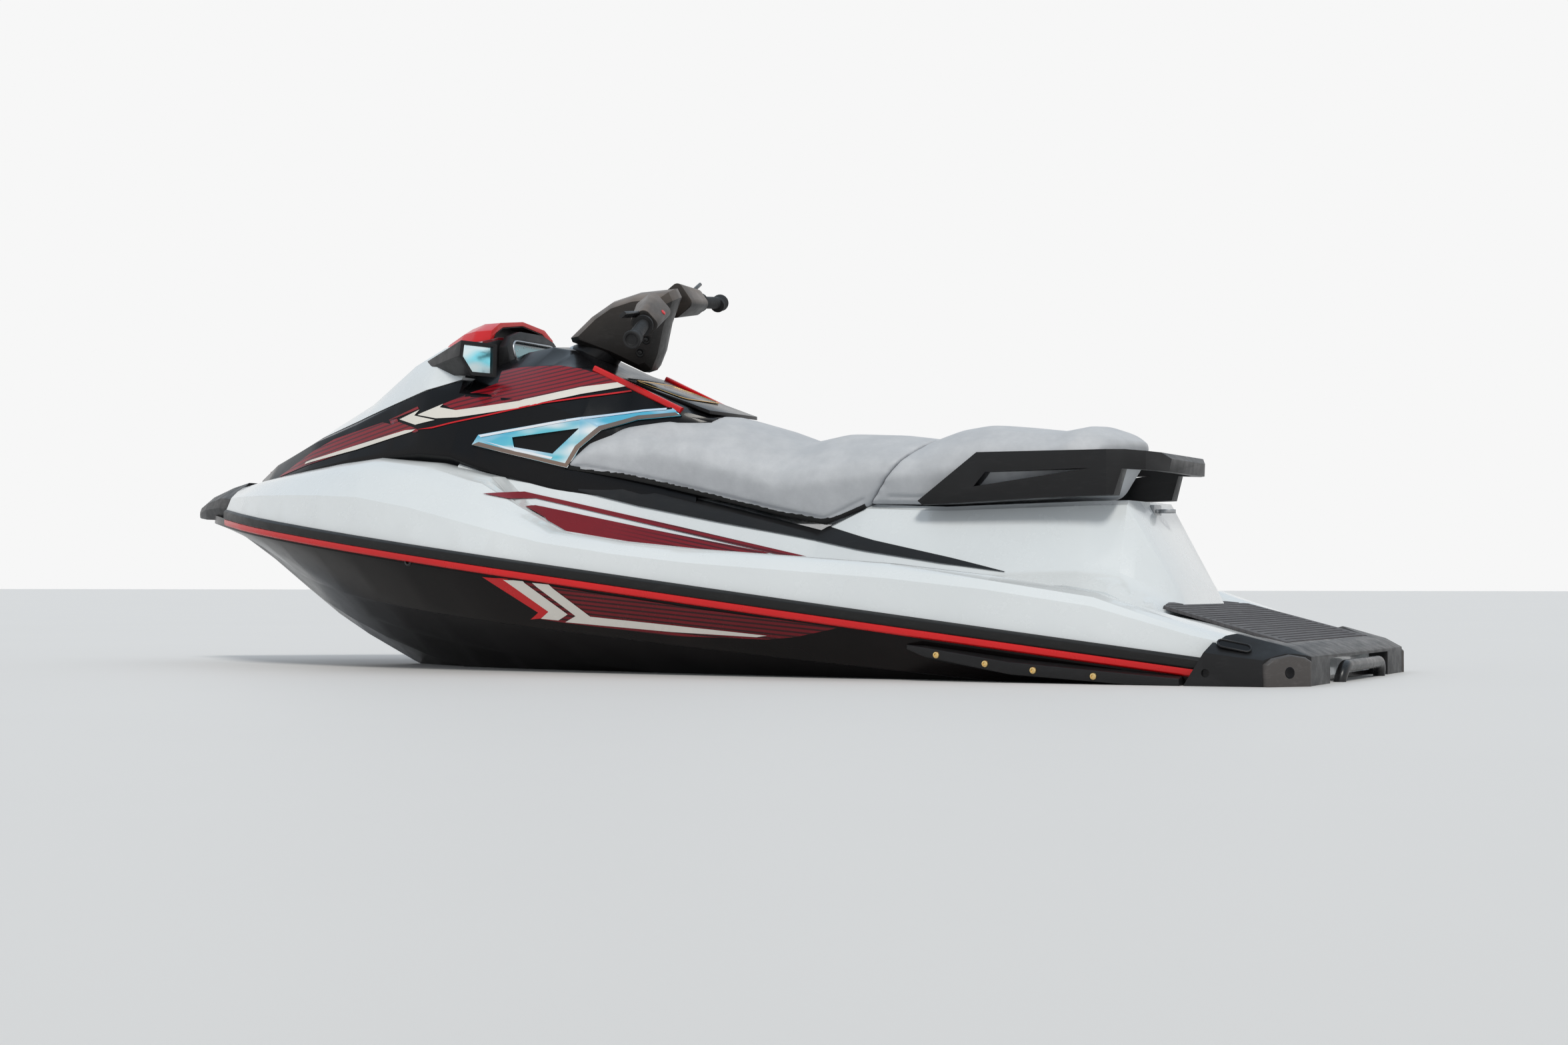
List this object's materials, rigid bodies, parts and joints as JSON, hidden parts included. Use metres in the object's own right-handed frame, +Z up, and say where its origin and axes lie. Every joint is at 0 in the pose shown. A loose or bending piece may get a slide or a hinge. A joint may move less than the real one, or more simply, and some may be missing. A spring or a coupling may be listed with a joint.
{
  "type": "personal watercraft",
  "caption": "Straddled jet craft with a stepped seat, raked handlebars, opening hood and glove box, jet pump with steering nozzle and reverse bucket, and a folding boarding step.",
  "frame": {"origin": "on the centreline at mid length, on the surface of the water that the craft floats in", "axes": "+X to the bow, +Y to port, +Z up from the water"},
  "size_m": [3.339, 1.2114, 1.2945],
  "materials": {
    "hull_black": "gloss gelcoat",
    "deck_white": "gloss gelcoat",
    "cowl_black": "satin gloss",
    "hood_maroon": "gloss metallic",
    "accent_red": "gloss",
    "rail_black": "satin",
    "bumper_black": "satin",
    "trim_chrome": "polished",
    "gauge_lens": "gloss",
    "mirror_glass": "polished",
    "bar_metal": "satin",
    "grip_rubber": "matte",
    "seat_vinyl": "satin vinyl",
    "mat_rubber": "matte",
    "pump_metal": "cast",
    "impeller_steel": "satin",
    "engine_metal": "plain",
    "step_black": "satin",
    "drain_plastic": "satin"
  },
  "bodies": {
    "craft": {"hull": "hull_black", "engine_block": "engine_metal", "deck": "deck_white", "rub_rail": "rail_black", "rail_stripe": "accent_red", "nose_bumper": "bumper_black", "cowl": "cowl_black", "side_bands": "bumper_black", "side_trims": "trim_chrome", "edge_bars": "accent_red", "gauge_housing": "bumper_black", "gauge_face": "gauge_lens", "column_base": "bumper_black", "grab_handle": "bumper_black", "seat_front": "seat_vinyl", "seat_rear": "seat_vinyl", "tow_eye": "pump_metal", "sponsons": "bumper_black", "deck_mat": "mat_rubber", "footwell_mats": "mat_rubber", "stern_bumpers": "bumper_black", "pump_housing": "pump_metal", "ride_plate": "pump_metal", "intake_grate": "pump_metal", "step_brackets": "bumper_black", "drain_plugs": "drain_plastic"},
    "handlebars": {"steering_cover": "bumper_black", "handlebar": "bar_metal", "grips": "grip_rubber", "switch_pods": "bumper_black", "levers": "bar_metal"},
    "hood": {"hood_spine": "hood_maroon", "hood_wings": "deck_white", "visor": "accent_red", "mirror_housings": "bumper_black", "mirror_glasses": "mirror_glass"},
    "lid": {"glovebox_lid": "cowl_black"},
    "rotor": {"impeller": "impeller_steel", "drive_shaft": "impeller_steel"},
    "nozzle": {"steering_nozzle": "pump_metal"},
    "bucket": {"reverse_bucket": "bumper_black"},
    "step": {"boarding_step": "step_black"}
  },
  "joints": [
    {"name": "steering", "type": "hinge", "parent": "craft", "child": "handlebars", "pos_m": [0.179, 0, 0.958], "axis": [-0.8192, 0, 0.5736], "range_deg": [-38, 6]},
    {"name": "nozzle_turn", "type": "hinge", "parent": "craft", "child": "nozzle", "pos_m": [-1.48958, 0, -0.13622], "axis": [0.0523, 0, -0.9986], "range_deg": [-38, 6]},
    {"name": "impeller_spin", "type": "hinge", "parent": "craft", "child": "rotor", "pos_m": [-1.18, 0, -0.12], "axis": [-0.9986, 0, -0.0523], "continuous": true},
    {"name": "bucket_tilt", "type": "hinge", "parent": "craft", "child": "bucket", "pos_m": [-1.51754, 0, -0.13769], "axis": [0, -1, 0], "range_deg": [0, 75]},
    {"name": "hood_lift", "type": "hinge", "parent": "craft", "child": "hood", "pos_m": [1.41, 0, 0.508], "axis": [0, 1, 0], "range_deg": [0, 60]},
    {"name": "lid_lift", "type": "hinge", "parent": "craft", "child": "lid", "pos_m": [0.221, 0, 0.744], "axis": [0, 1, 0], "range_deg": [0, 45]},
    {"name": "step_fold", "type": "hinge", "parent": "craft", "child": "step", "pos_m": [-1.628, 0, -0.095], "axis": [0, -1, 0], "range_deg": [0, 165]}
  ],
  "couplings": [
    {"joint": "nozzle_turn", "follows": "steering", "ratio": 1}
  ]
}
